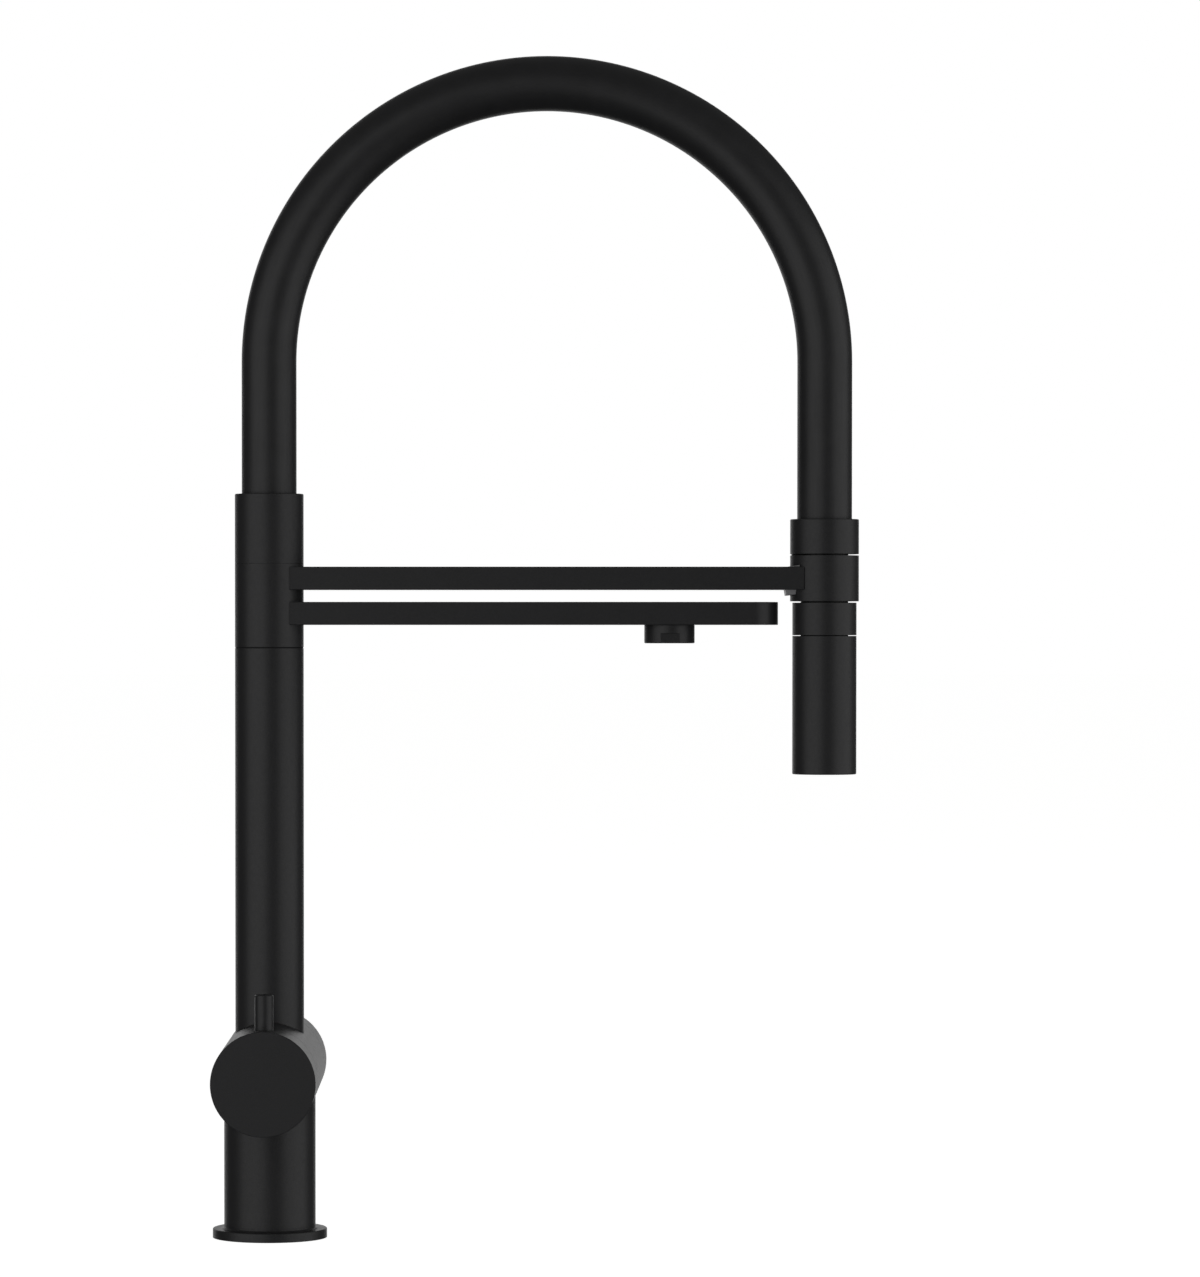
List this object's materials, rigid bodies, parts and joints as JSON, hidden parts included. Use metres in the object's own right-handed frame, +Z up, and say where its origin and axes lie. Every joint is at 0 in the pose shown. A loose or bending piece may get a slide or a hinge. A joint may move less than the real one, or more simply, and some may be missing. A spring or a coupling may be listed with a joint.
{
  "type": "kitchen faucet",
  "caption": "Tall three-way kitchen faucet in matt black: swivelling arms, filtered-water spout, arched hose with a magnetically docked spray wand, and side levers on a cross barrel.",
  "frame": {"origin": "centre of the flange's underside on the worktop, at the mouth of the M8 fixing hole", "axes": "+Z up along the column; +X along the spout towards the wand; -Y is the filtered-water side, +Y the mixer side"},
  "size_m": [0.2825, 0.136, 0.5157],
  "materials": {
    "black_coat": "matt black coating on metal, faint satin grain",
    "silicone": "matt black silicone",
    "brass": "turned",
    "steel": "brushed",
    "magnet": "satin nickel plate",
    "seal_rubber": "moulded, matt",
    "guide_plastic": "moulded acetal",
    "ceramic": "lapped alumina ceramic",
    "grey_plastic": "moulded"
  },
  "bodies": {
    "base": {"deck_seal": "seal_rubber", "base_flange": "black_coat", "inlet_block": "brass", "lower_body": "black_coat", "valve_body": "black_coat", "riser_column": "black_coat", "mixed_water_tube": "steel", "filtered_water_tube": "steel", "swivel_spindle": "brass", "spindle_seals": "seal_rubber", "spindle_guides": "guide_plastic", "spindle_clip": "steel", "slip_washer": "seal_rubber", "knob_slide_rings": "guide_plastic", "mixer_cartridge": "grey_plastic", "cartridge_seals": "seal_rubber", "mixer_fixed_disc": "ceramic", "mixer_nut": "brass", "filter_valve": "brass", "filter_valve_seal": "seal_rubber", "filter_fixed_disc": "ceramic"},
    "mixer_control": {"mixer_turning_disc": "ceramic", "mixer_stem": "brass", "mixer_knob": "black_coat", "mixer_lever": "black_coat", "mixer_grub_screw": "steel"},
    "filter_control": {"filter_turning_disc": "ceramic", "filter_stem": "brass", "filter_knob": "black_coat", "filter_lever": "black_coat", "filter_grub_screw": "steel"},
    "swivel_arm": {"arm_sleeve": "black_coat", "dock_arm": "black_coat", "dock_magnet": "magnet", "filter_spout": "black_coat", "aerator_housing": "black_coat", "aerator_insert": "grey_plastic", "aerator_seal": "seal_rubber", "hose_socket": "black_coat", "hose_fitting": "brass", "hose_jacket": "silicone", "gooseneck": "steel", "inner_hose": "grey_plastic"},
    "wand": {"hose_collar": "black_coat", "wand_fitting": "brass", "dock_ring": "black_coat", "wand_neck": "black_coat", "neck_seals": "seal_rubber", "neck_clip": "steel"},
    "head": {"spray_head": "black_coat", "diverter": "grey_plastic", "spray_face": "grey_plastic", "spray_nozzles": "seal_rubber", "stream_outlet": "grey_plastic"},
    "selector": {"selector_ring": "black_coat"}
  },
  "joints": [
    {"name": "arm_swivel", "type": "hinge", "parent": "base", "child": "swivel_arm", "pos_m": [0, 0, 0.273], "axis": [0, 0, 1], "continuous": true},
    {"name": "mixer_turn", "type": "hinge", "parent": "base", "child": "mixer_control", "pos_m": [0, 0.055, 0.0724], "axis": [0, 1, 0], "range_deg": [0, 105]},
    {"name": "filter_turn", "type": "hinge", "parent": "base", "child": "filter_control", "pos_m": [0, -0.055, 0.0724], "axis": [0, 1, 0], "range_deg": [0, 90]},
    {"name": "wand_pull", "type": "slide", "parent": "swivel_arm", "child": "wand", "axis": [1, 0, 0], "range_m": [0, 0.04], "deforming": ["hose_jacket", "gooseneck", "inner_hose"]},
    {"name": "head_swivel", "type": "hinge", "parent": "wand", "child": "head", "pos_m": [0.2425, 0, 0.258], "axis": [0, 0, 1], "continuous": true},
    {"name": "selector_turn", "type": "hinge", "parent": "head", "child": "selector", "pos_m": [0.2425, 0, 0.27], "axis": [0, 0, 1], "range_deg": [0, 60]}
  ]
}
